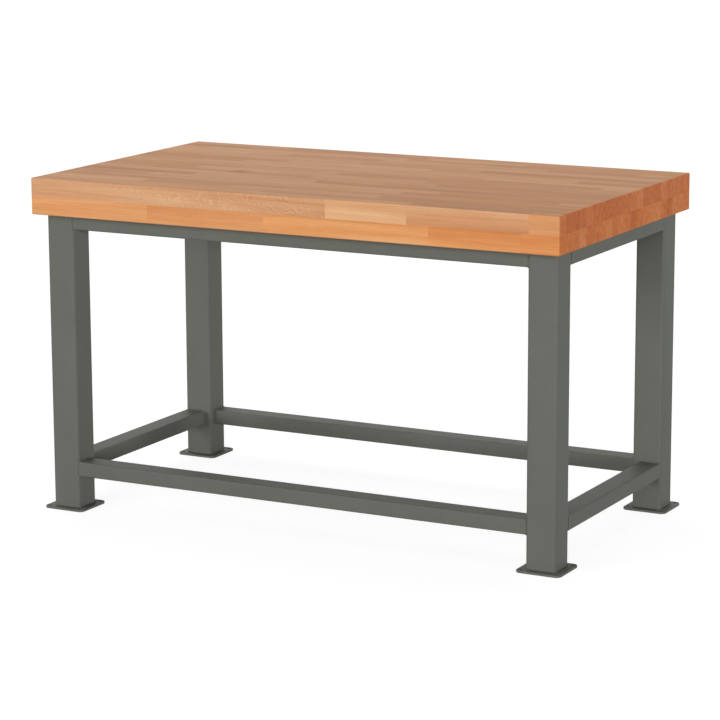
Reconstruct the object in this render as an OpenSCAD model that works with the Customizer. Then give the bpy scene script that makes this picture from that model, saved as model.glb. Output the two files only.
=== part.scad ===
// Heavy-duty workbench: a glued hardwood top on a welded square-tube frame with drilled foot plates.
// +X runs along the bench, -Y is its front, +Z is up. The origin is on the floor under the middle.

/* [Worktop] */
// Length of the worktop
worktop_l = 1500; // [1100:10:2400]
// Depth of the worktop from front to back
worktop_w = 840; // [600:10:1100]
// Thickness of the upper glued layer
upper_layer_t = 48; // [20:1:60]
// Thickness of the lower glued layer
lower_layer_t = 48; // [20:1:60]
// Nominal width of one stave
stave_w = 40; // [30:1:80]
// Shortest stave that is glued in
stave_min_l = 70; // [60:5:150]
// Chamfer round the edges of the worktop
edge_chamfer = 2; // [1:0.5:6]

/* [Frame] */
// Height of the bench from the floor to the working surface
bench_h = 890; // [700:5:1100]
// Side of the square leg tubes
leg_w = 80; // [60:5:100]
// Wall of the leg tubes
leg_wall = 4; // [2:0.5:6]
// Outer corner radius of the leg tubes
leg_r = 8; // [7:0.5:12]
// Overhang of the worktop past the legs at each end
end_overhang = 20; // [5:5:200]
// Overhang of the worktop past the legs at the front and back
front_overhang = 40; // [5:5:120]

/* [Rails] */
// Depth of the rail tubes, across the rail
rail_w = 60; // [40:5:80]
// Height of the upper rail tubes
upper_rail_h = 40; // [40:5:80]
// Height of the lower rail tubes
lower_rail_h = 40; // [30:5:80]
// Wall of the rail tubes
rail_wall = 3; // [2:0.5:4]
// Outer corner radius of the rail tubes
rail_r = 5; // [4.5:0.5:8]
// Space under the lower rails
lower_rail_z = 92; // [40:1:300]

/* [Foot plates] */
// Side of the square foot plates
foot_w = 120; // [110:1:200]
// Thickness of the foot plates
foot_t = 6; // [4:1:15]
// Corner radius of the foot plates
foot_r = 14; // [5:1:20]
// Diameter of the floor-anchor holes
anchor_d = 11; // [7:0.5:14]
// Distance of an anchor hole from the two nearest plate edges
anchor_edge = 12.5; // [8:0.5:15]

/* [Worktop fixing] */
// Number of angle cleats on each long rail
long_cleats = 3; // [2:1:6]
// Number of angle cleats on each short rail
short_cleats = 2; // [1:1:3]
// Length of an angle cleat along the rail
cleat_l = 50; // [40:5:100]
// Width of a cleat's flange under the worktop
cleat_w = 50; // [46:1:80]
// Height of a cleat's flange on the rail
cleat_h = 34; // [15:1:34]
// Thickness of a cleat
cleat_t = 5; // [3:1:8]
// Distance of a screw from the rail
screw_offset = 30; // [25:1:32]
// Shank diameter of the coach screws
screw_d = 8; // [6:1:10]
// Length of a coach screw under its head
screw_l = 50; // [30:5:80]
// Width of the hexagon head across its flats
head_af = 13; // [10:1:17]
// Height of the hexagon head
head_h = 5.5; // [4:0.5:8]
// Outer diameter of the screw washers
washer_d = 24; // [18:1:30]
// Thickness of the screw washers
washer_t = 2; // [1:0.5:4]
// Radial clearance round the screws in the cleats, washers and pilot holes
screw_fit = 0.3; // [0.2:0.1:0.6]

/* [Hidden] */
$fn = 64;
steel_colour = "#6b6d66";
zinc_colour = "#b9bcbd";
upper_colours = ["#c9976f", "#b98a66", "#d3a47b", "#c08f69"];
lower_colours = ["#df9e68", "#d08c57", "#e6ab77", "#d69762"];

// Levels above the floor
worktop_t = upper_layer_t + lower_layer_t;
worktop_z = bench_h - worktop_t;
leg_l = worktop_z - foot_t;
upper_rail_z = worktop_z - upper_rail_h;

// Places of the legs' middles and of the frame's outer faces
leg_x = worktop_l / 2 - end_overhang - leg_w / 2;
leg_y = worktop_w / 2 - front_overhang - leg_w / 2;
frame_x = leg_x + leg_w / 2;
frame_y = leg_y + leg_w / 2;
long_rail_l = 2 * leg_x - leg_w;
short_rail_l = 2 * leg_y - leg_w;

// Length of a screw inside the worktop, and how much deeper its pilot hole goes
screw_in_wood = screw_l - cleat_t - washer_t;
pilot_spare = 2;

// Cuts pass this far through a face
cut_over = 1;
// The thinnest inner corner radius of a tube
inner_r_min = 1;

// The staves lie in rows that share the worktop's depth evenly, the first row at the front
rows = round(worktop_w / stave_w);
row_w = worktop_w / rows;
upper = 0;
lower = 1;
layer_z = [worktop_z + lower_layer_t, worktop_z];
layer_t = [upper_layer_t, lower_layer_t];

// Butt joints that show along the front edge in each layer, from the left end
front_joints = [[870, 1095, 1420], [355, 695, 1155, 1400]];
// Lengths that the staves behind the front row are cut to, in turn
stock_l = [430, 560, 290, 480, 360, 620, 250];
// Each row and layer starts at another place in that list and with another length for its first stave,
// so that the joints of neighbouring rows lie apart
row_turns = 3;
row_step = 110;
layer_step = 110;
first_range = 390;

// Joints of one row behind the front, from x on
function joints_from(x, turn) =
    x > worktop_l - stave_min_l ? [] :
    concat([x], joints_from(x + stock_l[turn % len(stock_l)], turn + 1));

// Joints of any row, from the left end
function row_joints(row, layer) =
    row == 0 ? [for (x = front_joints[layer]) if (x <= worktop_l - stave_min_l) x] :
    joints_from(stave_min_l + (row * row_step + layer * layer_step) % first_range, row * row_turns + layer);

// Places along a rail for a number of evenly spread cleats
function spread(count, length) = [for (i = [0:count - 1]) (i + 0.5 - count / 2) * length / count];

// Outline of a rectangle with chamfered corners
function chamfered(a, b, c) =
    [[c, 0], [a - c, 0], [a, c], [a, b - c], [a - c, b], [c, b], [0, b - c], [0, c]];

// A block with rounded upright edges, its lowest corner at the origin
module rounded_block(x, y, z, r) {
    translate([r, 0, 0]) cube([x - 2 * r, y, z]);
    translate([0, r, 0]) cube([x, y - 2 * r, z]);
    for (cx = [r, x - r], cy = [r, y - r]) translate([cx, cy, 0]) cylinder(r = r, h = z);
}

// An upright tube with rounded corners, its lowest corner at the origin
module tube(x, y, z, wall, r) {
    difference() {
        rounded_block(x, y, z, r);
        translate([wall, wall, -cut_over])
            rounded_block(x - 2 * wall, y - 2 * wall, z + 2 * cut_over, max(r - wall, inner_r_min));
    }
}

// The worktop's outer form, with all its edges chamfered
module worktop_form() {
    c = edge_chamfer;
    translate([-worktop_l / 2, -worktop_w / 2, worktop_z]) intersection() {
        linear_extrude(worktop_t) polygon(chamfered(worktop_l, worktop_w, c));
        rotate([90, 0, 90]) linear_extrude(worktop_l) polygon(chamfered(worktop_w, worktop_t, c));
        translate([0, worktop_w, 0])
            rotate([90, 0, 0]) linear_extrude(worktop_w) polygon(chamfered(worktop_l, worktop_t, c));
    }
}

// One stave of a row, counted from the left end
module stave(row, number, layer) {
    joints = concat([0], row_joints(row, layer), [worktop_l]);
    translate([joints[number] - worktop_l / 2, row * row_w - worktop_w / 2, layer_z[layer]])
        cube([joints[number + 1] - joints[number], row_w, layer_t[layer]]);
}

// Every second stave of every second row of a layer, so that no two of them touch
module staves(layer, first_row, first_stave) {
    color([upper_colours, lower_colours][layer][2 * first_row + first_stave])
    difference() {
        intersection() {
            for (row = [first_row:2:rows - 1], number = [first_stave:2:len(row_joints(row, layer))])
                stave(row, number, layer);
            worktop_form();
        }
        at_screws() translate([0, 0, -cut_over])
            cylinder(d = screw_d + 2 * screw_fit, h = cut_over + screw_in_wood + pilot_spare);
    }
}

// A leg tube, side is -1 or 1 for left or right, face is -1 or 1 for front or rear
module leg(side, face) {
    color(steel_colour)
    translate([side * leg_x - leg_w / 2, face * leg_y - leg_w / 2, foot_t])
        tube(leg_w, leg_w, leg_l, leg_wall, leg_r);
}

// A foot plate under a leg, with an anchor hole in each corner
module foot_plate(side, face) {
    hole = foot_w / 2 - anchor_edge;
    color(steel_colour)
    translate([side * leg_x, face * leg_y, 0]) difference() {
        translate([-foot_w / 2, -foot_w / 2, 0]) rounded_block(foot_w, foot_w, foot_t, foot_r);
        for (x = [-hole, hole], y = [-hole, hole])
            translate([x, y, -cut_over]) cylinder(d = anchor_d, h = foot_t + 2 * cut_over);
    }
}

// A rail between the legs of the front or the rear, flush with their outer faces
module long_rail(face, z, h) {
    color(steel_colour)
    translate([-long_rail_l / 2, face * (frame_y - rail_w / 2) - rail_w / 2, z])
        rotate([90, 0, 90]) tube(rail_w, h, long_rail_l, rail_wall, rail_r);
}

// The same between the legs of one end
module short_rail(side, z, h) {
    color(steel_colour)
    translate([side * (frame_x - rail_w / 2) - rail_w / 2, short_rail_l / 2, z])
        rotate([90, 0, 0]) tube(rail_w, h, short_rail_l, rail_wall, rail_r);
}

// Puts a shape at every cleat of a rail, its +Y away from the rail and its Z level with the worktop's underside
module at_long_cleats(face) {
    for (x = spread(long_cleats, long_rail_l))
        translate([x, face * (frame_y - rail_w), worktop_z]) rotate([0, 0, face > 0 ? 180 : 0]) children();
}
module at_short_cleats(side) {
    for (y = spread(short_cleats, short_rail_l))
        translate([side * (frame_x - rail_w), y, worktop_z]) rotate([0, 0, side * 90]) children();
}

// Puts a shape at every screw, level with the worktop's underside
module at_screws() {
    for (end = [-1, 1]) {
        at_long_cleats(end) translate([0, screw_offset, 0]) children();
        at_short_cleats(end) translate([0, screw_offset, 0]) children();
    }
}

// An angle cleat: one flange on the rail, the other under the worktop with a screw hole
module cleat() {
    difference() {
        translate([-cleat_l / 2, 0, 0]) rotate([90, 0, 90]) linear_extrude(cleat_l)
            polygon([[0, 0], [cleat_w, 0], [cleat_w, -cleat_t], [cleat_t, -cleat_t], [cleat_t, -cleat_h], [0, -cleat_h]]);
        translate([0, screw_offset, -cleat_t - cut_over])
            cylinder(d = screw_d + 2 * screw_fit, h = cleat_t + 2 * cut_over);
    }
}

// Hexagon-headed coach screws that hold the worktop down on the cleats
module coach_screws() {
    tip_l = screw_d;
    color(zinc_colour)
    at_screws() translate([0, 0, -cleat_t - washer_t]) {
        translate([0, 0, -head_h]) cylinder(d = head_af / cos(30), h = head_h, $fn = 6);
        cylinder(d = screw_d, h = screw_l - tip_l);
        translate([0, 0, screw_l - tip_l]) cylinder(d1 = screw_d, d2 = screw_d / 4, h = tip_l);
    }
}

// Washers between the screw heads and the cleats
module screw_washers() {
    color(zinc_colour)
    at_screws() translate([0, 0, -cleat_t - washer_t]) difference() {
        cylinder(d = washer_d, h = washer_t);
        translate([0, 0, -cut_over]) cylinder(d = screw_d + 2 * screw_fit, h = washer_t + 2 * cut_over);
    }
}

staves(upper, 0, 0);  // upper_staves_a
staves(upper, 0, 1);  // upper_staves_b
staves(upper, 1, 0);  // upper_staves_c
staves(upper, 1, 1);  // upper_staves_d
staves(lower, 0, 0);  // lower_staves_a
staves(lower, 0, 1);  // lower_staves_b
staves(lower, 1, 0);  // lower_staves_c
staves(lower, 1, 1);  // lower_staves_d
leg(-1, -1);  // leg_front_left
leg(1, -1);  // leg_front_right
leg(-1, 1);  // leg_rear_left
leg(1, 1);  // leg_rear_right
foot_plate(-1, -1);  // foot_plate_front_left
foot_plate(1, -1);  // foot_plate_front_right
foot_plate(-1, 1);  // foot_plate_rear_left
foot_plate(1, 1);  // foot_plate_rear_right
long_rail(-1, upper_rail_z, upper_rail_h);  // upper_rail_front
long_rail(1, upper_rail_z, upper_rail_h);  // upper_rail_rear
short_rail(-1, upper_rail_z, upper_rail_h);  // upper_rail_left
short_rail(1, upper_rail_z, upper_rail_h);  // upper_rail_right
long_rail(-1, lower_rail_z, lower_rail_h);  // lower_rail_front
long_rail(1, lower_rail_z, lower_rail_h);  // lower_rail_rear
short_rail(-1, lower_rail_z, lower_rail_h);  // lower_rail_left
short_rail(1, lower_rail_z, lower_rail_h);  // lower_rail_right
color(steel_colour) at_long_cleats(-1) cleat();  // cleats_front
color(steel_colour) at_long_cleats(1) cleat();  // cleats_rear
color(steel_colour) at_short_cleats(-1) cleat();  // cleats_left
color(steel_colour) at_short_cleats(1) cleat();  // cleats_right
coach_screws();
screw_washers();
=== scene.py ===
import random
from math import cos, radians, sin

import bmesh
import bpy
from mathutils import Matrix, Vector


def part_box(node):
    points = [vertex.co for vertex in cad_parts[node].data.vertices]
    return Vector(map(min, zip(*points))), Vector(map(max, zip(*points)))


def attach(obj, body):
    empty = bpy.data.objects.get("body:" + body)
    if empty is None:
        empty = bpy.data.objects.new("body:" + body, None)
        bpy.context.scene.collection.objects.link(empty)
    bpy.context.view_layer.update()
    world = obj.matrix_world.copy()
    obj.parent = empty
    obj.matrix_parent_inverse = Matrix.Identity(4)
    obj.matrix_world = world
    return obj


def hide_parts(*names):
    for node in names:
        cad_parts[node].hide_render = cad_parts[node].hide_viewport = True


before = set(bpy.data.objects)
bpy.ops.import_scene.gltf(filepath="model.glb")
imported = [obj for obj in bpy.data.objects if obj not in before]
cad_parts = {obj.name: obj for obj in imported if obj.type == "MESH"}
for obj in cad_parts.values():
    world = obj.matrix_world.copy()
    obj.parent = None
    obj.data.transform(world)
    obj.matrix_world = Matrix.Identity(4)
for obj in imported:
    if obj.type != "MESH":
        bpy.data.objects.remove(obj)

bpy.context.view_layer.update()
print("frame loaded:", len(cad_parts), "nodes")


def linearColour(hexText):
    values = [int(hexText[i:i + 2], 16) / 255 for i in (1, 3, 5)]
    return [v / 12.92 if v <= 0.04045 else ((v + 0.055) / 1.055) ** 2.4 for v in values] + [1.0]


def addNode(tree, kind, inputs=None, stops=None, **settings):
    node = tree.nodes.new("ShaderNode" + kind)
    for name, value in settings.items():
        setattr(node, name, value)
    for name, value in (inputs or {}).items():    # a node stands for its first output
        if isinstance(value, bpy.types.Node):
            value = value.outputs[0]
        if isinstance(value, bpy.types.NodeSocket):
            tree.links.new(value, node.inputs[name])
        else:
            node.inputs[name].default_value = linearColour(value) if isinstance(value, str) else value
    for number, (stop, colour) in enumerate(stops or []):    # a ramp's places with their colours or grey levels
        element = node.color_ramp.elements[number] if number < 2 else node.color_ramp.elements.new(stop)
        element.position = stop
        element.color = linearColour(colour) if isinstance(colour, str) else (colour, colour, colour, 1)
    return node


def newMaterial(name):
    material = bpy.data.materials.new(name)
    material.use_nodes = True
    material.node_tree.nodes.clear()
    return material, material.node_tree


bandLength = 0.314    # metres from band to band of a wave texture at scale 1

beech = {
    "seedStep": (31, 17, 23),
    "ringWidth": 0.0045,    # real rings are 1.5 to 4 mm wide, drawn coarser so that they show
    "wander": 0.007,    # how far a ring strays along the board
    "knotPlace": (-0.320, -0.080, 0.890),
    "knotSize": 0.026, "knotUnevenness": 0.006,
    "knotReach": 0.035, "knotPush": 0.014,    # the rings bend this near the knot, and by this much beside it
    "knotColour": "#86552F",
    "curlWidth": 0.009,    # between the fine pale lines of the curly stave
    "curlBend": 25.0, "curlTurn": 35, "curlStretch": (0.75, 1.0, 1.0),
    "middleTone": 0.43,    # on the way from deep to pale wood
    "fibreTone": 0.22, "ringTone": -0.15,
    "rayShare": 0.16,    # how much of the line colour a ray has
    "roughnessSpread": (-0.05, 0.07),
    "fibreHeight": 0.00006, "rayHeight": -0.7,    # a ray is sunk, measured in fibre heights
    # cells in each metre along, across and through the board, detail and roughness
    "patterns": {
        "slow": ((3.2, 16, 16), 3.0, 0.5),
        "patchy": ((6, 40, 40), 2.0, 0.5),
        "streak": ((2.6, 75, 75), 4.0, 0.6),
        "fibre": ((22, 620, 620), 3.0, 0.6),    # a fibre bundle is about 1 mm wide and 30 mm long
        "rays": ((150, 560, 560), 1.0, 0.5),    # beech's dark flecks, some 4 mm long
    },
}

beechFaces = {
    # deep, middle and pale wood, first pinkish and then orange, as the boards of one tree vary
    # the upper side's palette is greyer and less orange than the edge's: painted sheen, the pale reflection an oiled
    # top shows at a grazing view, put into its colour while its own specular stays low
    "face": {"pinkish": ("#A77858", "#C9956F", "#DBB18D"), "orange": ("#AD764C", "#CE9967", "#E0B587"),
             "line": "#885837", "lineShare": 0.26, "streakShare": 0.24, "toneShare": 0.50, "curlShare": 0.10,
             "roughness": 0.52, "specular": 0.03},
    "edge": {"pinkish": ("#B67B56", "#D0976D", "#E2B88D"), "orange": ("#D07A3D", "#E2995C", "#EEB47D"),
             "line": "#AB673C", "lineShare": 0.40, "streakShare": 0.26, "toneShare": 1.0, "curlShare": 0.34,
             "roughness": 0.55, "specular": 0.2},
    "end": {"pinkish": ("#AA5B39", "#C9774B", "#D7926A"), "orange": ("#B26134", "#D17E49", "#DE9A66"),
            "line": "#984D30", "lineShare": 0.30, "streakShare": 0.27, "toneShare": 0.50, "curlShare": 0.0,
            "roughness": 0.65, "specular": 0.1},
}


# Oiled beech, planed and sanded: warm and low in contrast, growth rings as faint darker lines along the board,
# short dark rays, silky rather than glossy. Sawn end grain soaks up more oil and looks redder.
def oiledBeech(name, look):
    material, tree = newMaterial(name)
    place = addNode(tree, "TexCoord").outputs["Object"]
    along = addNode(tree, "SeparateXYZ", {0: place}).outputs[0]
    heart, axis, board = [addNode(tree, "Attribute", attribute_name=kept).outputs["Vector"]
                          for kept in ("heart", "axis", "board")]
    seed, tone, warmth = addNode(tree, "SeparateXYZ", {0: board}).outputs
    figure = addNode(tree, "Attribute", attribute_name="figure").outputs["Fac"]
    # a board's seed moves its pattern, so that no board repeats another
    own = addNode(tree, "VectorMath", {0: seed, 1: beech["seedStep"], 2: place}, operation="MULTIPLY_ADD")
    pattern = {}
    for kept, (scale, detail, roughness) in beech["patterns"].items():
        spread = addNode(tree, "Mapping", {"Vector": own, "Scale": scale})
        pattern[kept] = addNode(tree, "TexNoise", {"Vector": spread, "Scale": 1.0, "Detail": detail,
                                                   "Roughness": roughness})

    # the rings go round the heart of the tree, and bend round the knot
    level = addNode(tree, "VectorMath", {0: along, 1: axis, 2: place}, operation="MULTIPLY_ADD")
    radius = addNode(tree, "VectorMath", {0: level, 1: heart}, operation="DISTANCE").outputs["Value"]
    radius = addNode(tree, "Math", {0: pattern["slow"], 1: beech["wander"], 2: radius}, operation="MULTIPLY_ADD")
    knotAway = addNode(tree, "VectorMath", {0: place, 1: beech["knotPlace"]}, operation="DISTANCE").outputs["Value"]
    knotBend = addNode(tree, "MapRange", {0: knotAway, 2: beech["knotReach"], 3: beech["knotPush"], 4: 0.0},
                       interpolation_type="SMOOTHSTEP")
    radius = addNode(tree, "Math", {0: radius, 1: knotBend}, operation="ADD")
    turns = addNode(tree, "Math", {0: radius, 1: beech["ringWidth"]}, operation="DIVIDE")
    ring = addNode(tree, "ValToRGB", {0: addNode(tree, "Math", {0: turns}, operation="FRACT")},
                   stops=[(0.0, 0.15), (0.45, 0.0), (0.86, 0.9), (1.0, 0.15)])
    patchy = addNode(tree, "ValToRGB", {0: pattern["patchy"]}, stops=[(0.2, 0.0), (0.8, 1.0)])
    ring = addNode(tree, "Math", {0: ring, 1: patchy}, operation="MULTIPLY")

    # fine pale lines that sweep to and fro across the curly stave
    curlPlace = addNode(tree, "Mapping", {"Vector": own, "Scale": beech["curlStretch"],
                                          "Rotation": (0, radians(beech["curlTurn"]), 0)})
    curl = addNode(tree, "TexWave", {"Vector": curlPlace, "Scale": bandLength / beech["curlWidth"],
                                     "Distortion": beech["curlBend"], "Detail": 1.0, "Detail Scale": 0.8},
                   bands_direction="X").outputs["Fac"]
    curlLine = addNode(tree, "ValToRGB", {0: curl}, stops=[(0.5, 0.0), (1.0, 1.0)])
    curlLine = addNode(tree, "Math", {0: curlLine, 1: patchy}, operation="MULTIPLY")
    curlShown = addNode(tree, "ValToRGB", {0: figure}, stops=[(0.18, 0.0), (0.32, 1.0)])
    curlLine = addNode(tree, "Math", {0: curlLine, 1: curlShown}, operation="MULTIPLY")
    rays = addNode(tree, "ValToRGB", {0: pattern["rays"]}, stops=[(0.60, 0.0), (0.70, 1.0)])

    start = beech["middleTone"] - look["streakShare"] * 2    # the streaks' noise adds this back, being 0.5 on average
    tone = addNode(tree, "Math", {0: tone, 1: look["toneShare"] / 2, 2: start}, operation="MULTIPLY_ADD")
    for part, share in ((pattern["streak"], look["streakShare"] * 4), (pattern["fibre"], beech["fibreTone"]),
                        (ring, beech["ringTone"]), (curlLine, look["curlShare"])):
        tone = addNode(tree, "Math", {0: part, 1: share, 2: tone}, operation="MULTIPLY_ADD")
    woods = [addNode(tree, "ValToRGB", {0: tone}, stops=list(zip((0.0, 0.5, 1.0), look[kind])))
             for kind in ("pinkish", "orange")]
    colour = addNode(tree, "MixRGB", {0: warmth, 1: woods[0], 2: woods[1]})
    for part, share in ((ring, look["lineShare"]), (rays, beech["rayShare"])):
        part = addNode(tree, "Math", {0: part, 1: share}, operation="MULTIPLY")
        colour = addNode(tree, "MixRGB", {0: part, 1: colour, 2: look["line"]})
    knotEdge = addNode(tree, "Math", {0: pattern["streak"], 1: beech["knotUnevenness"], 2: knotAway},
                       operation="MULTIPLY_ADD")
    knotEdge = addNode(tree, "Math", {0: knotEdge, 1: beech["knotSize"] * 1.5}, operation="DIVIDE")
    knot = addNode(tree, "ValToRGB", {0: knotEdge}, stops=[(0.0, 0.75), (0.3, 0.4), (1.0, 0.0)])
    colour = addNode(tree, "MixRGB", {0: knot, 1: colour, 2: beech["knotColour"]})

    smoother, rougher = [look["roughness"] + step for step in beech["roughnessSpread"]]
    rough = addNode(tree, "MapRange", {0: pattern["streak"], 3: smoother, 4: rougher})
    height = addNode(tree, "Math", {0: rays, 1: beech["rayHeight"], 2: pattern["fibre"]}, operation="MULTIPLY_ADD")
    bump = addNode(tree, "Bump", {"Strength": 0.6, "Distance": beech["fibreHeight"], "Height": height})
    shader = addNode(tree, "BsdfPrincipled", {"IOR": 1.5, "Specular IOR Level": look["specular"],
                                              "Base Color": colour, "Roughness": rough, "Normal": bump})
    addNode(tree, "OutputMaterial", {0: shader})
    return material


coating = {
    "colour": "#6B6D66", "darker": "#676962", "lighter": "#6F716A",
    "cloudCells": 5.0, "gritCells": 260.0, "gritShare": 0.35,    # cells in a metre, and how much the grit counts
    "roughness": 0.48, "roughnessSpread": 0.06, "specular": 0.045,
    "peelSize": 0.0022, "peelHeight": 0.00005,    # orange peel is about 1 to 3 mm across
    "scaleSize": 0.0024, "scaleHeight": 0.0003, "scaleBend": 2.5,    # a weld's scales under the paint
}


# Green-grey polyester powder coat, sprayed and baked on steel: satin, one even colour,
# with the faint pebbled skin that the melted powder leaves.
def powderCoat(name, rippled=False):
    material, tree = newMaterial(name)
    place = addNode(tree, "TexCoord").outputs["Object"]
    cloud = addNode(tree, "TexNoise", {"Vector": place, "Scale": coating["cloudCells"], "Detail": 4.0,
                                       "Roughness": 0.6})
    grit = addNode(tree, "TexNoise", {"Vector": place, "Scale": coating["gritCells"], "Detail": 2.0})
    blend = addNode(tree, "MixRGB", {0: coating["gritShare"], 1: cloud, 2: grit})
    colour = addNode(tree, "ValToRGB", {0: blend}, stops=[(0.3, coating["darker"]), (0.5, coating["colour"]),
                                                          (0.7, coating["lighter"])])
    rough = addNode(tree, "MapRange", {0: blend, 3: coating["roughness"] - coating["roughnessSpread"],
                                       4: coating["roughness"] + coating["roughnessSpread"]})
    peel = addNode(tree, "TexNoise", {"Vector": place, "Scale": 1 / coating["peelSize"], "Detail": 1.0})
    bump = addNode(tree, "Bump", {"Strength": 0.5, "Distance": coating["peelHeight"], "Height": peel})
    if rippled:
        scales = addNode(tree, "TexWave", {"Vector": place, "Scale": bandLength / coating["scaleSize"],
                                           "Distortion": coating["scaleBend"], "Detail Scale": 40.0},
                         bands_direction="DIAGONAL")
        bump = addNode(tree, "Bump", {"Strength": 0.8, "Distance": coating["scaleHeight"], "Height": scales,
                                      "Normal": bump})
    shader = addNode(tree, "BsdfPrincipled", {"IOR": 1.5, "Specular IOR Level": coating["specular"],
                                              "Base Color": colour, "Roughness": rough, "Normal": bump})
    addNode(tree, "OutputMaterial", {0: shader})
    return material


zinc = {
    "darker": "#A3A8AB", "lighter": "#C4C8CA",
    "cloudCells": 180.0,    # in a metre, so clouds of about 5 mm
    "cloudHeight": 0.00004,
    "smoothest": 0.28, "roughest": 0.46,
}


# Bright zinc-plated steel, barrel plated: silvery with a slight blue cast, cloudy where the barrel rubbed it
def zincPlate(name):
    material, tree = newMaterial(name)
    place = addNode(tree, "TexCoord").outputs["Object"]
    cloud = addNode(tree, "TexNoise", {"Vector": place, "Scale": zinc["cloudCells"], "Detail": 3.0})
    colour = addNode(tree, "ValToRGB", {0: cloud}, stops=[(0.3, zinc["darker"]), (0.7, zinc["lighter"])])
    rough = addNode(tree, "MapRange", {0: cloud, 3: zinc["smoothest"], 4: zinc["roughest"]})
    bump = addNode(tree, "Bump", {"Strength": 0.3, "Distance": zinc["cloudHeight"], "Height": cloud})
    shader = addNode(tree, "BsdfPrincipled", {"Metallic": 1.0, "Base Color": colour, "Roughness": rough,
                                              "Normal": bump})
    addNode(tree, "OutputMaterial", {0: shader})
    return material


sheenPaintedFaceWood = oiledBeech("oiledBeechFaceGrainPaintedSheen", beechFaces["face"])
edgeWood = oiledBeech("oiledBeechEdgeGrain", beechFaces["edge"])
endWood = oiledBeech("oiledBeechEndGrain", beechFaces["end"])
paintedSteel = powderCoat("greenGreyPowderCoat")
paintedWeld = powderCoat("greenGreyPowderCoatOnWeld", rippled=True)
platedSteel = zincPlate("brightZincPlate")
print("materials made")


# A CAD node's mesh with its triangles joined into whole faces again
def mergedCopy(nodeName):
    bm = bmesh.new()
    bm.from_mesh(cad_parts[nodeName].data)
    bmesh.ops.remove_doubles(bm, verts=bm.verts[:], dist=1e-6)
    bmesh.ops.dissolve_limit(bm, angle_limit=radians(0.5), verts=bm.verts[:], edges=bm.edges[:])
    for layer in list(bm.loops.layers.uv.values()):
        bm.loops.layers.uv.remove(layer)
    return bm


# Rounds the edges that turn by more than an angle in degrees and are longer than the shortest
def softenEdges(bm, size, fromAngle, shortest=0.0):
    edges = [e for e in bm.edges if len(e.link_faces) == 2 and e.calc_face_angle() > radians(fromAngle)
             and e.calc_length() > shortest]
    bmesh.ops.bevel(bm, geom=edges, offset=size, offset_type="OFFSET", segments=2, profile=0.5,
                    affect="EDGES", material=-1, clamp_overlap=True)


def finishPiece(name, bm, materials, nodes, sharpAngle=35):
    for face in bm.faces:
        face.smooth = True
    for edge in bm.edges:
        edge.smooth = len(edge.link_faces) == 2 and edge.calc_face_angle() < radians(sharpAngle)
    mesh = bpy.data.meshes.new(name)
    bm.to_mesh(mesh)
    bm.free()
    for material in materials:
        mesh.materials.append(material)
    piece = bpy.data.objects.new(name, mesh)
    bpy.context.scene.collection.objects.link(piece)
    shading = piece.modifiers.new("flat faces stay flat", "WEIGHTED_NORMAL")
    shading.keep_sharp = True
    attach(piece, "root")
    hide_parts(*nodes)


staves = {
    "edgeSoftening": 0.0002,    # a sanded glue joint is a hair line
    "shortestEdge": 0.0015,
    "sharpAngle": 30,
    "toneSpread": 0.42,
    "toneStep": 0.3,    # from a stave's underside to its upper side, at most
    "upperWarmth": (0.05, 0.45),
    "lowerWarmth": (0.65, 1.0),
    "heartAside": (0.02, 0.16), "heartAbove": (0.05, 0.2),    # how far off the tree's middle lies, either way
    "leanAside": 0.02, "leanUp": 0.03,
    "flat": 0.8, "sideways": 0.6,    # a normal's least share of Z on the flat sides, and of Y on the edges
}

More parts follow.
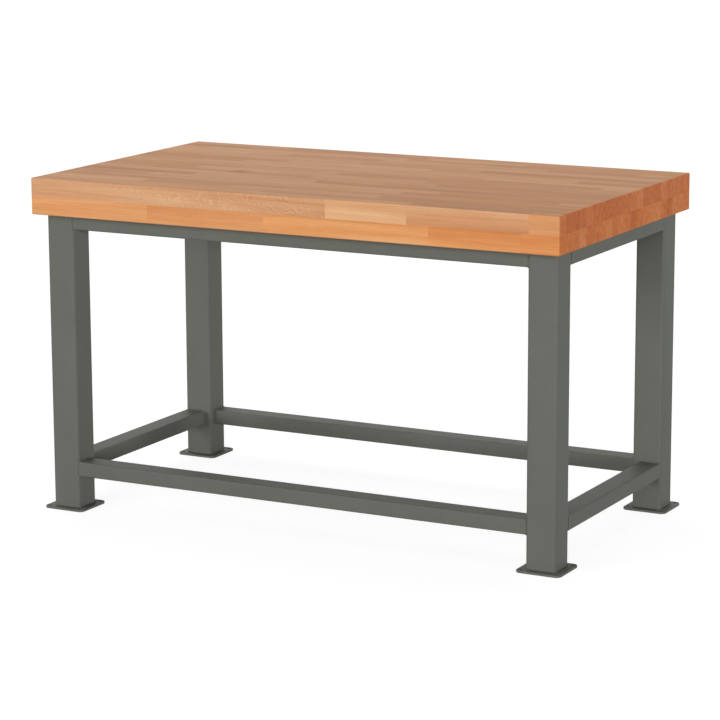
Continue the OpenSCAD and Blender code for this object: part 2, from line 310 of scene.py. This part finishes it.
# Staves that stand out, by a point inside each (X, Y, Z in metres). A tone goes from the underside's to the upper
# side's, and a flatTone is the upper side's own where it looks unlike the edge. A figure says how curly the grain is
# at the left end and at the right end, a heart is the Y and Z of the tree's middle, and a lean its slope along the
# board in Y and Z.
markedStaves = [
    {"at": (-0.30, -0.40, 0.866), "tone": (0.24, 0.10), "flatTone": 0.1, "warmth": 0.08, "figure": (0.0, 1.0),
     "heart": (-0.20, 0.866)},
    {"at": (0.23, -0.40, 0.866), "tone": (0.75, 0.45), "flatTone": 0.0, "warmth": 0.35, "heart": (-0.36, 1.04),
     "lean": (0.0, -0.085)},
    {"at": (0.50, -0.40, 0.866), "tone": (-0.50, 0.50), "flatTone": -1.1, "warmth": 0.2, "heart": (-0.37, 0.70),
     "lean": (0.0, -0.09)},
    {"at": (0.71, -0.40, 0.866), "tone": (-0.1, 0.05), "flatTone": -0.4, "warmth": 0.55},
    {"at": (-0.57, -0.40, 0.818), "tone": (0.20, 0.25), "warmth": 0.85, "heart": (-0.36, 0.60), "lean": (0.0, 0.03)},
    {"at": (-0.22, -0.40, 0.818), "tone": (0.0, -0.1), "warmth": 0.75, "heart": (-0.34, 1.02), "lean": (0.0, 0.0)},
    {"at": (0.18, -0.40, 0.818), "tone": (0.25, -0.05), "warmth": 1.0, "heart": (-0.37, 0.62), "lean": (0.0, -0.035)},
    {"at": (0.53, -0.40, 0.818), "tone": (0.15, -0.75), "warmth": 1.0, "heart": (-0.36, 0.58), "lean": (0.0, -0.05)},
    {"at": (0.70, -0.40, 0.818), "tone": (-0.35, -0.5), "warmth": 1.0},
    {"at": (-0.68, 0.28, 0.866), "tone": (0.8, 0.8), "warmth": 0.1},
    {"at": (-0.29, 0.16, 0.866), "tone": (0.75, 0.75), "warmth": 0.2},
    {"at": (0.45, 0.12, 0.866), "tone": (0.55, 0.55), "warmth": 0.3},
    {"at": (0.49, -0.16, 0.866), "tone": (-0.9, -0.9), "warmth": 0.3},
    {"at": (0.50, -0.36, 0.866), "tone": (-0.9, -0.9), "warmth": 0.3},
    {"at": (0.47, -0.32, 0.866), "tone": (-0.7, -0.7), "warmth": 0.4},
    {"at": (0.64, -0.32, 0.866), "tone": (-0.9, -0.9), "warmth": 0.4},
    {"at": (0.62, -0.28, 0.866), "tone": (-0.6, -0.6), "warmth": 0.4},
    {"at": (0.60, -0.24, 0.866), "tone": (-0.8, -0.8), "warmth": 0.4},
    {"at": (0.60, -0.20, 0.866), "tone": (-0.5, -0.5), "warmth": 0.4},
    {"at": (0.66, -0.16, 0.866), "tone": (-0.6, -0.6), "warmth": 0.4},
    {"at": (-0.68, -0.04, 0.866), "tone": (-0.5, -0.5), "warmth": 0.5},
    {"at": (0.32, 0.0, 0.866), "tone": (-0.6, -0.6), "warmth": 0.3},
    {"at": (0.74, -0.28, 0.818), "tone": (0.8, 0.8), "warmth": 0.6},
    {"at": (0.74, 0.04, 0.818), "tone": (-1.0, -1.0), "warmth": 0.4},
]


def islandsOf(bm):
    left, islands = set(bm.verts), []
    while left:
        todo = [left.pop()]
        island = set(todo)
        while todo:
            for edge in todo.pop().link_edges:
                for vert in edge.verts:
                    if vert in left:
                        left.remove(vert)
                        island.add(vert)
                        todo.append(vert)
        islands.append(island)
    return islands


def staveNature(low, high, upper):
    centre = (low + high) / 2
    # two primes keep the seeds of neighbouring staves, taken from their places in millimetres, apart
    chance = random.Random(int(round(centre.x * 1000)) * 7919 + int(round(centre.y * 1000)) * 104729 + upper)
    tone = max(-1, min(1, chance.gauss(0, staves["toneSpread"])))
    step, aside, up = staves["toneStep"], staves["leanAside"], staves["leanUp"]
    nature = {
        "tone": (tone, tone + chance.uniform(-step, step)),
        "warmth": chance.uniform(*staves["upperWarmth" if upper else "lowerWarmth"]),
        "figure": (0.0, 0.0),
        # most boards are sawn with their rings nearly square to the face or lying at a slant
        "heart": (centre.y + chance.choice((-1, 1)) * chance.uniform(*staves["heartAside"]),
                  centre.z + chance.choice((-1, 1)) * chance.uniform(*staves["heartAbove"])),
        "lean": (chance.uniform(-aside, aside), chance.uniform(-up, up)),
        "seed": chance.random(),
    }
    for marked in markedStaves:
        if all(a - 1e-4 <= p <= b + 1e-4 for a, p, b in zip(low, marked["at"], high)):
            nature.update({key: value for key, value in marked.items() if key != "at"})
    return nature


def makeStaves(nodeName):
    upper = nodeName.startswith("upper")
    bm = mergedCopy(nodeName)
    softenEdges(bm, staves["edgeSoftening"], staves["sharpAngle"], staves["shortestEdge"])
    heart, axis = [bm.verts.layers.float_vector.new(kept) for kept in ("heart", "axis")]
    figure = bm.verts.layers.float.new("figure")
    board = bm.loops.layers.float_vector.new("board")
    islands = islandsOf(bm)
    for island in islands:
        low = Vector([min(v.co[i] for v in island) for i in range(3)])
        high = Vector([max(v.co[i] for v in island) for i in range(3)])
        nature = staveNature(low, high, upper)
        for vert in island:
            left, right = nature["figure"]
            vert[heart] = (0, *nature["heart"])
            vert[axis] = (-1, -nature["lean"][0], -nature["lean"][1])
            vert[figure] = left + (right - left) * (vert.co.x - low.x) / (high.x - low.x)
        for face in {face for vert in island for face in vert.link_faces}:
            flat = abs(face.normal.z) > staves["flat"]
            for loop in face.loops:
                under, over = nature["tone"]
                tone = under + (over - under) * (loop.vert.co.z - low.z) / (high.z - low.z)
                loop[board] = (nature["seed"], nature.get("flatTone", tone) if flat else tone, nature["warmth"])
    # faces turned up or down take the face wood, whose colour carries the painted sheen
    for face in bm.faces:
        normal = face.normal
        face.material_index = 0 if abs(normal.z) > staves["flat"] else 1 if abs(normal.y) > staves["sideways"] else 2
    finishPiece(nodeName + "_oiled", bm, [sheenPaintedFaceWood, edgeWood, endWood], [nodeName],
                staves["sharpAngle"])
    return len(islands)


count = sum(makeStaves(f"{layer}_staves_{letter}") for layer in ("upper", "lower") for letter in "abcd")
print("worktop made:", count, "staves")


steelAngle = 60    # degrees, so that a tube's own rounded corners stay as they are

welds = {
    "foot": 0.0016, "rail": 0.0022, "railRoot": 0.0039,
    "legCorner": 0.008, "railCorner": 0.005,    # the outer roundings of the tubes that the collars follow
    "step": 0.0025, "softened": 0.0005,
    "groundOff": 0.0045,    # the collar round a rail's end stops at the weld in the groove
    "groove": 0.003, "grooveIn": 0.0006, "grooveDepth": 0.0044, "grooveEnd": 0.0011, "grooveRounding": 0.8,
}


# A weld round a tube's end as a flat collar with square edges, cut off where a side is ground flush. Its root goes
# into the steel. Without a root it is one open sheet, which is what the legs' feet have.
def weldBead(bm, centre, away, width, depth, radius, size, root=0.0, flush=()):
    bead = bmesh.new()
    bmesh.ops.create_grid(bead, x_segments=1, y_segments=1, size=0.5)
    bmesh.ops.scale(bead, vec=(width + 2 * size, depth + 2 * size, 1), verts=bead.verts[:])
    bmesh.ops.bevel(bead, geom=bead.verts[:], offset=radius + size, segments=5, profile=0.5, affect="VERTICES",
                    material=-1)
    for edge in [e for e in bead.edges if e.calc_length() > 2 * welds["step"]]:
        bmesh.ops.subdivide_edges(bead, edges=[edge], cuts=int(edge.calc_length() / welds["step"]))
    bmesh.ops.translate(bead, vec=(0, 0, size), verts=bead.verts[:])
    if root:
        grown = bmesh.ops.extrude_edge_only(bead, edges=bead.edges[:])["geom"]
        bmesh.ops.translate(bead, vec=(0, 0, -root), verts=[v for v in grown if isinstance(v, bmesh.types.BMVert)])
    bmesh.ops.holes_fill(bead, edges=[e for e in bead.edges if e.is_boundary], sides=0)
    turn = Vector(away).to_track_quat("Z", "Y").to_matrix().to_4x4()
    bmesh.ops.transform(bead, matrix=Matrix.Translation(centre) @ turn, verts=bead.verts[:])
    for point, outward in flush:
        bmesh.ops.bisect_plane(bead, geom=bead.verts[:] + bead.edges[:] + bead.faces[:], plane_co=point,
                               plane_no=outward, clear_outer=True)
        bmesh.ops.holes_fill(bead, edges=[e for e in bead.edges if e.is_boundary], sides=0)
    bmesh.ops.recalc_face_normals(bead, faces=bead.faces[:])
    for face in bead.faces:
        face.material_index = 1
    scratch = bpy.data.meshes.new("bead")
    bead.to_mesh(scratch)
    bead.free()
    bm.from_mesh(scratch)
    bpy.data.meshes.remove(scratch)


# The weld at the bottom of the groove that a leg's rounded corner leaves beside a rail's end, its ends rounded
def grooveWeld(bm, centre, length):
    rod = bmesh.ops.create_cone(bm, cap_ends=True, segments=16, radius1=welds["groove"], radius2=welds["groove"],
                                depth=length, matrix=Matrix.Translation(centre))["verts"]
    rims = {edge for vert in rod for edge in vert.link_edges if edge.calc_face_angle() > radians(steelAngle)}
    rounded = bmesh.ops.bevel(bm, geom=list(rims), offset=welds["groove"] * welds["grooveRounding"], segments=4,
                              profile=0.5, affect="EDGES", material=-1)["verts"]
    for face in {face for vert in rod + rounded if vert.is_valid for face in vert.link_faces}:
        face.material_index = 1


def makeLeg(nodeName):
    bm = mergedCopy(nodeName)
    low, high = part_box(nodeName)
    middle = Vector(((low.x + high.x) / 2, (low.y + high.y) / 2, low.z))
    weldBead(bm, middle, (0, 0, 1), high.x - low.x, high.y - low.y, welds["legCorner"], welds["foot"])
    finishPiece(nodeName + "_tube", bm, [paintedSteel, paintedWeld], [nodeName])


# The rails run along X at the front and rear, and along Y at the left and right
def makeRail(nodeName, side):
    bm = mergedCopy(nodeName)
    softenEdges(bm, welds["softened"], steelAngle)
    low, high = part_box(nodeName)
    middle = (low + high) / 2
    run = 0 if side in ("front", "rear") else 1
    up, outward = Vector((0, 0, 1)), Vector((0, 0, 0))
    outward[1 - run] = -1 if side in ("front", "left") else 1
    outerFace = low if side in ("front", "left") else high
    start = outerFace - outward * welds["groundOff"]
    flush = [(start, outward)] + [((*start.xy, z), (outward + slope).normalized())
                                  for z, slope in ((high.z, up), (low.z, -up))]
    if nodeName.startswith("upper"):    # the worktop lies on it
        flush.append((high - up * welds["rail"], up))
    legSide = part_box("leg_rear_right")[0][run]    # the legs' inner sides, as far out at both ends
    for end in (-1, 1):
        centre, away = middle.copy(), Vector((0, 0, 0))
        centre[run] = end * legSide
        away[run] = -end
        weldBead(bm, centre, away, high[1 - run] - low[1 - run], high.z - low.z, welds["railCorner"], welds["rail"],
                 root=welds["railRoot"], flush=flush)
        centre[run] = end * (legSide + welds["grooveIn"])
        centre[1 - run] = (outerFace - outward * welds["grooveDepth"])[1 - run]
        grooveWeld(bm, centre, high.z - low.z - 2 * welds["grooveEnd"])
    finishPiece(nodeName + "_tube", bm, [paintedSteel, paintedWeld], [nodeName])


roundings = {"plate": 0.0006, "cleat": 0.0005, "screw": 0.0003, "washer": 0.0002}    # of cut and pressed edges


def makePlainSteel(nodeName, ending, size, material):
    bm = mergedCopy(nodeName)
    softenEdges(bm, size, steelAngle)
    finishPiece(nodeName + ending, bm, [material], [nodeName])


for corner in [f"{face}_{side}" for face in ("front", "rear") for side in ("left", "right")]:
    makeLeg("leg_" + corner)
    makePlainSteel("foot_plate_" + corner, "_pressed", roundings["plate"], paintedSteel)
for side in ("front", "rear", "left", "right"):
    makeRail("upper_rail_" + side, side)
    makeRail("lower_rail_" + side, side)
    makePlainSteel("cleats_" + side, "_angle", roundings["cleat"], paintedSteel)
print("frame made")
makePlainSteel("coach_screws", "_plated", roundings["screw"], platedSteel)
makePlainSteel("screw_washers", "_plated", roundings["washer"], platedSteel)
print("fixings made")


studio = {
    "floorSize": 80.0,
    "skyLight": 0.06,
    "floorBounce": 0.42,
    "floorShade": 0.22, "floorGlow": 0.89,    # what the camera sees: the shadow's depth, and the white it lies on
    # each lamp is far off and wide, like a big soft box: where it stands from the bench, its strength and its width
    "lamps": {
        "key": ((-0.50, -0.85, 0.12), 1.95, 34),
        "fill": ((0.36, -0.84, 0.14), 0.85, 40),
        "side": ((0.95, -0.30, 0.05), 1.54, 10),
        "overhead": ((-0.10, -0.30, 1.0), 0.49, 60),
        "back": ((-0.20, 0.50, 0.85), 1.10, 60),
        "rear": ((-0.70, 0.72, 0.12), 1.20, 36),
    },
    "unreflected": "rear",    # its reflection would be a pale sheen on the worktop
}


def seenRay(tree):
    path = addNode(tree, "LightPath")
    seen = path.outputs["Is Camera Ray"]
    for kind in ("Is Glossy Ray", "Is Transmission Ray"):
        seen = addNode(tree, "Math", {0: seen, 1: path.outputs[kind]}, operation="MAXIMUM")
    return seen


def makeFloor():
    bm = bmesh.new()
    bmesh.ops.create_grid(bm, x_segments=1, y_segments=1, size=studio["floorSize"] / 2)
    mesh = bpy.data.meshes.new("floor")
    bm.to_mesh(mesh)
    bm.free()
    floor = bpy.data.objects.new("floor", mesh)
    bpy.context.scene.collection.objects.link(floor)
    material, tree = newMaterial("paleStudioFloor")
    plain, shade = [addNode(tree, "BsdfDiffuse", {"Color": [studio[grey]] * 3 + [1]})
                    for grey in ("floorBounce", "floorShade")]
    glow = addNode(tree, "Emission", {"Strength": studio["floorGlow"]})
    shown = addNode(tree, "AddShader", {0: shade, 1: glow})
    mix = addNode(tree, "MixShader", {0: seenRay(tree), 1: plain, 2: shown})
    addNode(tree, "OutputMaterial", {0: mix})
    mesh.materials.append(material)


def makeSky():
    world = bpy.data.worlds.new("studio")
    world.use_nodes = True
    world.node_tree.nodes.clear()
    strength = addNode(world.node_tree, "MapRange", {0: seenRay(world.node_tree), 3: studio["skyLight"], 4: 1.0})
    back = addNode(world.node_tree, "Background", {"Color": (1, 1, 1, 1), "Strength": strength})
    addNode(world.node_tree, "OutputWorld", {0: back})
    bpy.context.scene.world = world


def makeLamp(name, direction, strength, angle):
    lamp = bpy.data.lights.new(name, "SUN")
    lamp.energy = strength
    lamp.angle = radians(angle)
    holder = bpy.data.objects.new(name, lamp)
    holder.rotation_euler = Vector(direction).to_track_quat("Z", "Y").to_euler()
    holder.visible_glossy = name != studio["unreflected"]
    bpy.context.scene.collection.objects.link(holder)


makeFloor()
makeSky()
for lampName, (direction, strength, angle) in studio["lamps"].items():
    makeLamp(lampName, direction, strength, angle)

photoView = {
    "lens": 140.1528, "azimuth": 27.9204, "elevation": 11.6570, "roll": -0.2454,
    "distance": 7.38491, "aim": (0, 0, 0.5), "aside": -0.0048528, "above": -0.0997021,
    "sensorWidth": 36, "farthest": 200,
}


def makeCamera():
    azimuth, elevation, roll = (radians(photoView[k]) for k in ("azimuth", "elevation", "roll"))
    back = Vector((sin(azimuth) * cos(elevation), -cos(azimuth) * cos(elevation), sin(elevation)))
    level = Vector((cos(azimuth), sin(azimuth), 0))
    upright = back.cross(level)
    right = level * cos(roll) + upright * sin(roll)
    up = upright * cos(roll) - level * sin(roll)
    place = Vector(photoView["aim"]) + back * photoView["distance"]
    place = place + right * photoView["aside"] + up * photoView["above"]
    data = bpy.data.cameras.new("photoCamera")
    data.lens = photoView["lens"]
    data.sensor_width = photoView["sensorWidth"]
    data.clip_end = photoView["farthest"]
    camera = bpy.data.objects.new("photoCamera", data)
    camera.matrix_world = Matrix.Translation(place) @ Matrix((right, up, back)).transposed().to_4x4()
    bpy.context.scene.collection.objects.link(camera)
    bpy.context.scene.camera = camera


makeCamera()
bpy.context.scene.view_settings.view_transform = "Standard"
print("studio made")

bpy.context.view_layer.update()
